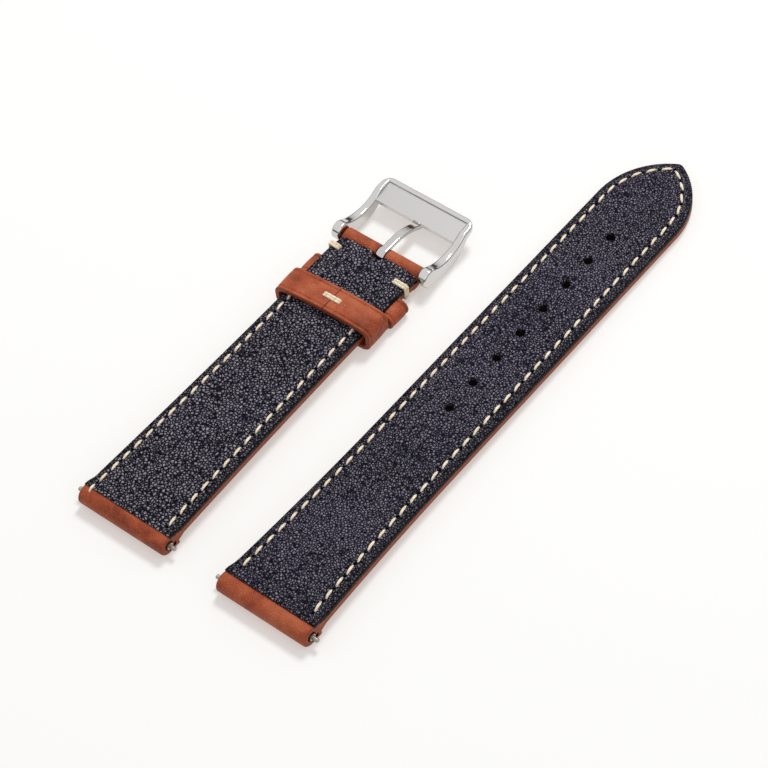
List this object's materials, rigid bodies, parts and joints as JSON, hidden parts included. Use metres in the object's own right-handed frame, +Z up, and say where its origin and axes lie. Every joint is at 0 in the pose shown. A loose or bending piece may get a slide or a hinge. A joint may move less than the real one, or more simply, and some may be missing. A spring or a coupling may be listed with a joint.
{
  "type": "leather watch strap",
  "caption": "Two-piece padded leather watch strap with stitched edges, sprung lug bars, a pin buckle and two keepers, lying face down.",
  "frame": {"origin": "under the middle of the whole strap, on the surface that it lies on", "axes": "+X along both halves from the watch lugs to the tail's point and the buckle, +Y from the tail half to the buckle half, +Z up out of the lining"},
  "size_m": [0.125, 0.055, 0.0066],
  "materials": {
    "tan_leather": "oiled, slightly mottled",
    "navy_lining": "pebbled grain",
    "leather_filler": "raw, dyed at the edges",
    "cream_thread": "waxed twisted thread",
    "buckle_steel": "blasted plate with polished rims",
    "bar_steel": "turned, bright",
    "spring_steel": "drawn wire"
  },
  "bodies": {
    "short_half": {"short_top_leather": "tan_leather", "short_core": "leather_filler", "short_lining": "navy_lining", "short_thread_left": "cream_thread", "short_thread_right": "cream_thread", "buckle_tack_left": "cream_thread", "buckle_tack_right": "cream_thread", "fixed_keeper": "tan_leather", "buckle_bar_tube": "bar_steel", "buckle_bar_spring": "spring_steel"},
    "free_keeper": {"free_keeper": "tan_leather", "free_keeper_thread": "cream_thread"},
    "buckle": {"buckle_frame": "buckle_steel"},
    "tongue": {"tongue": "buckle_steel"},
    "buckle_tip_left": {"buckle_bar_tip_left": "bar_steel"},
    "buckle_tip_right": {"buckle_bar_tip_right": "bar_steel"},
    "short_lug_bar": {"short_lug_bar_tube": "bar_steel", "short_lug_bar_spring": "spring_steel"},
    "short_lug_tip_left": {"short_lug_bar_tip_left": "bar_steel"},
    "short_lug_tip_right": {"short_lug_bar_tip_right": "bar_steel"},
    "tail_half": {"tail_top_leather": "tan_leather", "tail_core": "leather_filler", "tail_lining": "navy_lining", "tail_thread": "cream_thread"},
    "tail_lug_bar": {"tail_lug_bar_tube": "bar_steel", "tail_lug_bar_spring": "spring_steel"},
    "tail_lug_tip_left": {"tail_lug_bar_tip_left": "bar_steel"},
    "tail_lug_tip_right": {"tail_lug_bar_tip_right": "bar_steel"}
  },
  "joints": [
    {"name": "free_keeper_slide", "type": "slide", "parent": "short_half", "child": "free_keeper", "axis": [1, 0, 0], "range_m": [-0.01, 0.0003]},
    {"name": "buckle_hinge", "type": "hinge", "parent": "short_half", "child": "buckle", "pos_m": [0.01215, 0.0161, 0.00265], "axis": [0, 1, 0], "range_deg": [-60, 45]},
    {"name": "tongue_hinge", "type": "hinge", "parent": "buckle", "child": "tongue", "pos_m": [0.01215, 0.0161, 0.00265], "axis": [0, 1, 0], "range_deg": [-2, 100]},
    {"name": "buckle_tip_left_push", "type": "slide", "parent": "short_half", "child": "buckle_tip_left", "axis": [0, -1, 0], "range_m": [0, 0.001], "stiffness_N_per_m": 1000, "springref_m": -0.002, "deforming": ["buckle_bar_spring"]},
    {"name": "buckle_tip_right_push", "type": "slide", "parent": "short_half", "child": "buckle_tip_right", "axis": [0, 1, 0], "range_m": [0, 0.001], "stiffness_N_per_m": 1000, "springref_m": -0.002, "deforming": ["buckle_bar_spring"]},
    {"name": "short_lug_bar_turn", "type": "hinge", "parent": "short_half", "child": "short_lug_bar", "pos_m": [-0.0604, 0.0161, 0.0021], "axis": [0, 1, 0], "continuous": true},
    {"name": "short_lug_tip_left_push", "type": "slide", "parent": "short_lug_bar", "child": "short_lug_tip_left", "axis": [0, -1, 0], "range_m": [0, 0.001], "stiffness_N_per_m": 1000, "springref_m": -0.002, "deforming": ["short_lug_bar_spring"]},
    {"name": "short_lug_tip_right_push", "type": "slide", "parent": "short_lug_bar", "child": "short_lug_tip_right", "axis": [0, 1, 0], "range_m": [0, 0.001], "stiffness_N_per_m": 1000, "springref_m": -0.002, "deforming": ["short_lug_bar_spring"]},
    {"name": "tail_lift", "type": "slide", "parent": "short_half", "child": "tail_half", "axis": [0, 0, 1], "range_m": [0, 0.06]},
    {"name": "tail_lug_bar_turn", "type": "hinge", "parent": "tail_half", "child": "tail_lug_bar", "pos_m": [-0.0604, -0.0161, 0.0021], "axis": [0, 1, 0], "continuous": true},
    {"name": "tail_lug_tip_left_push", "type": "slide", "parent": "tail_lug_bar", "child": "tail_lug_tip_left", "axis": [0, -1, 0], "range_m": [0, 0.001], "stiffness_N_per_m": 1000, "springref_m": -0.002, "deforming": ["tail_lug_bar_spring"]},
    {"name": "tail_lug_tip_right_push", "type": "slide", "parent": "tail_lug_bar", "child": "tail_lug_tip_right", "axis": [0, 1, 0], "range_m": [0, 0.001], "stiffness_N_per_m": 1000, "springref_m": -0.002, "deforming": ["tail_lug_bar_spring"]}
  ]
}
